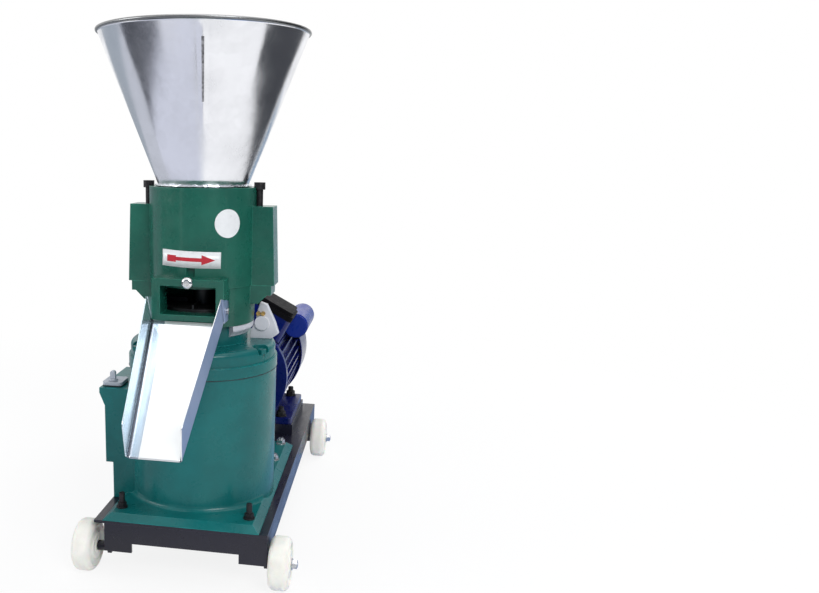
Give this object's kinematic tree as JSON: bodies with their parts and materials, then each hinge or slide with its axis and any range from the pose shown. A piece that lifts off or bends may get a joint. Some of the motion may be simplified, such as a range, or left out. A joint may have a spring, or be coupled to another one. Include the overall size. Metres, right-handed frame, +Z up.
{
  "type": "flat-die feed pellet mill",
  "caption": "Small flat-die pellet mill with a conical hopper, bevel gearbox, electric motor and a sloping chute on a wheeled frame.",
  "frame": {"origin": "on the floor under the middle of the machine's outer box", "axes": "+Z up, +Y from the outlet chute towards the motor, +X to the right seen from the chute"},
  "size_m": [0.3314, 0.801, 0.76],
  "materials": {
    "frame_paint": "semi-gloss near-black paint",
    "wheel_plastic": "off-white moulded",
    "zinc": "bright zinc plated",
    "black_steel": "blackened",
    "gear_paint": "glossy teal paint",
    "casing_paint": "glossy dark green paint",
    "cover_paint": "pale grey paint",
    "gasket": "dark gasket sheet",
    "cast_steel": "machined",
    "steel": "machined",
    "bearing_steel": "ground",
    "buffer_rubber": "matt black",
    "motor_paint": "glossy navy paint",
    "cap_plastic": "gloss black",
    "can_paint": "glossy blue",
    "fan_plastic": "matt black",
    "galvanised": "bright galvanised sheet",
    "chrome": "polished",
    "bracket_paint": "pale grey paint",
    "brass": "bright brass"
  },
  "bodies": {
    "machine": {"left_rail": "frame_paint", "right_rail": "frame_paint", "front_apron": "frame_paint", "rear_apron": "frame_paint", "cross_bars": "frame_paint", "motor_pads": "frame_paint", "axle_bolts": "zinc", "axle_nuts": "zinc", "anchor_studs": "black_steel", "plate_bolts": "zinc", "motor_bolts": "black_steel", "gearbox_housing": "gear_paint", "gearbox_lid": "gear_paint", "lid_bolts": "gear_paint", "filler_cover": "cover_paint", "cover_gasket": "gasket", "drain_plug": "zinc", "pinion_housing": "gear_paint", "pinion_housing_bolts": "zinc", "main_bearings": "bearing_steel", "pinion_bearings": "bearing_steel", "motor_body": "motor_paint", "front_end_shield": "motor_paint", "rear_end_shield": "motor_paint", "stator_core": "cast_steel", "motor_bearings": "bearing_steel", "fan_cover": "motor_paint", "terminal_box": "motor_paint", "terminal_cover": "cap_plastic", "cable_gland": "black_steel", "capacitor": "can_paint", "discharge_casing": "casing_paint", "cutter_knife": "steel", "roller_casing": "casing_paint", "outlet_screw": "chrome", "chute": "galvanised", "chute_screws": "zinc", "side_bracket": "bracket_paint", "bracket_screws": "brass"},
    "drive_line": {"pinion_shaft": "steel", "coupling_hubs": "cast_steel", "coupling_buffers": "buffer_rubber", "rotor_shaft": "steel", "cooling_fan": "fan_plastic"},
    "main_shaft_assembly": {"main_shaft": "steel", "crown_gear": "steel", "slinger_disc": "steel", "die": "steel", "die_nut": "steel"},
    "roller_carrier": {"roller_shaft": "steel"},
    "left_roller": {"roller_left": "steel"},
    "right_roller": {"roller_right": "steel"},
    "left_adjuster": {"adjusting_screw_left": "black_steel"},
    "right_adjuster": {"adjusting_screw_right": "black_steel"},
    "feed_hopper": {"hopper": "galvanised"},
    "dipstick": {"oil_dipstick": "cover_paint"},
    "front_left_wheel": {"wheel_front_left": "wheel_plastic"},
    "front_right_wheel": {"wheel_front_right": "wheel_plastic"},
    "rear_left_wheel": {"wheel_rear_left": "wheel_plastic"},
    "rear_right_wheel": {"wheel_rear_right": "wheel_plastic"}
  },
  "joints": [
    {"name": "drive_line_spin", "type": "hinge", "parent": "machine", "child": "drive_line", "pos_m": [0, 0.07047, 0.204], "axis": [0, 1, 0], "continuous": true},
    {"name": "main_shaft_spin", "type": "hinge", "parent": "machine", "child": "main_shaft_assembly", "pos_m": [0, -0.12953, 0.3], "axis": [0, 0, 1], "continuous": true},
    {"name": "roller_gap_travel", "type": "slide", "parent": "machine", "child": "roller_carrier", "axis": [0, 0, 1], "range_m": [0, 0.004]},
    {"name": "left_roller_spin", "type": "hinge", "parent": "roller_carrier", "child": "left_roller", "pos_m": [-0.037, -0.12953, 0.4605], "axis": [1, 0, 0], "continuous": true},
    {"name": "right_roller_spin", "type": "hinge", "parent": "roller_carrier", "child": "right_roller", "pos_m": [0.037, -0.12953, 0.4605], "axis": [1, 0, 0], "continuous": true},
    {"name": "left_adjuster_travel", "type": "slide", "parent": "machine", "child": "left_adjuster", "axis": [0, 0, 1], "range_m": [0, 0.004]},
    {"name": "right_adjuster_travel", "type": "slide", "parent": "machine", "child": "right_adjuster", "axis": [0, 0, 1], "range_m": [0, 0.004]},
    {"name": "hopper_lift", "type": "slide", "parent": "machine", "child": "feed_hopper", "axis": [0, 0, 1], "range_m": [0, 0.06]},
    {"name": "dipstick_lift", "type": "slide", "parent": "machine", "child": "dipstick", "axis": [0, 0, 1], "range_m": [0, 0.085]},
    {"name": "front_left_wheel_spin", "type": "hinge", "parent": "machine", "child": "front_left_wheel", "pos_m": [-0.1415, -0.25753, 0.0375], "axis": [1, 0, 0], "continuous": true},
    {"name": "front_right_wheel_spin", "type": "hinge", "parent": "machine", "child": "front_right_wheel", "pos_m": [0.1415, -0.25753, 0.0375], "axis": [1, 0, 0], "continuous": true},
    {"name": "rear_left_wheel_spin", "type": "hinge", "parent": "machine", "child": "rear_left_wheel", "pos_m": [-0.1415, 0.28447, 0.0375], "axis": [1, 0, 0], "continuous": true},
    {"name": "rear_right_wheel_spin", "type": "hinge", "parent": "machine", "child": "rear_right_wheel", "pos_m": [0.1415, 0.28447, 0.0375], "axis": [1, 0, 0], "continuous": true}
  ],
  "couplings": [
    {"joint": "main_shaft_spin", "follows": "drive_line_spin", "ratio": 0.25},
    {"joint": "right_roller_spin", "follows": "drive_line_spin", "ratio": 0.30833},
    {"joint": "left_roller_spin", "follows": "drive_line_spin", "ratio": -0.30833},
    {"joint": "left_adjuster_travel", "follows": "roller_gap_travel", "ratio": 1},
    {"joint": "right_adjuster_travel", "follows": "roller_gap_travel", "ratio": 1}
  ]
}
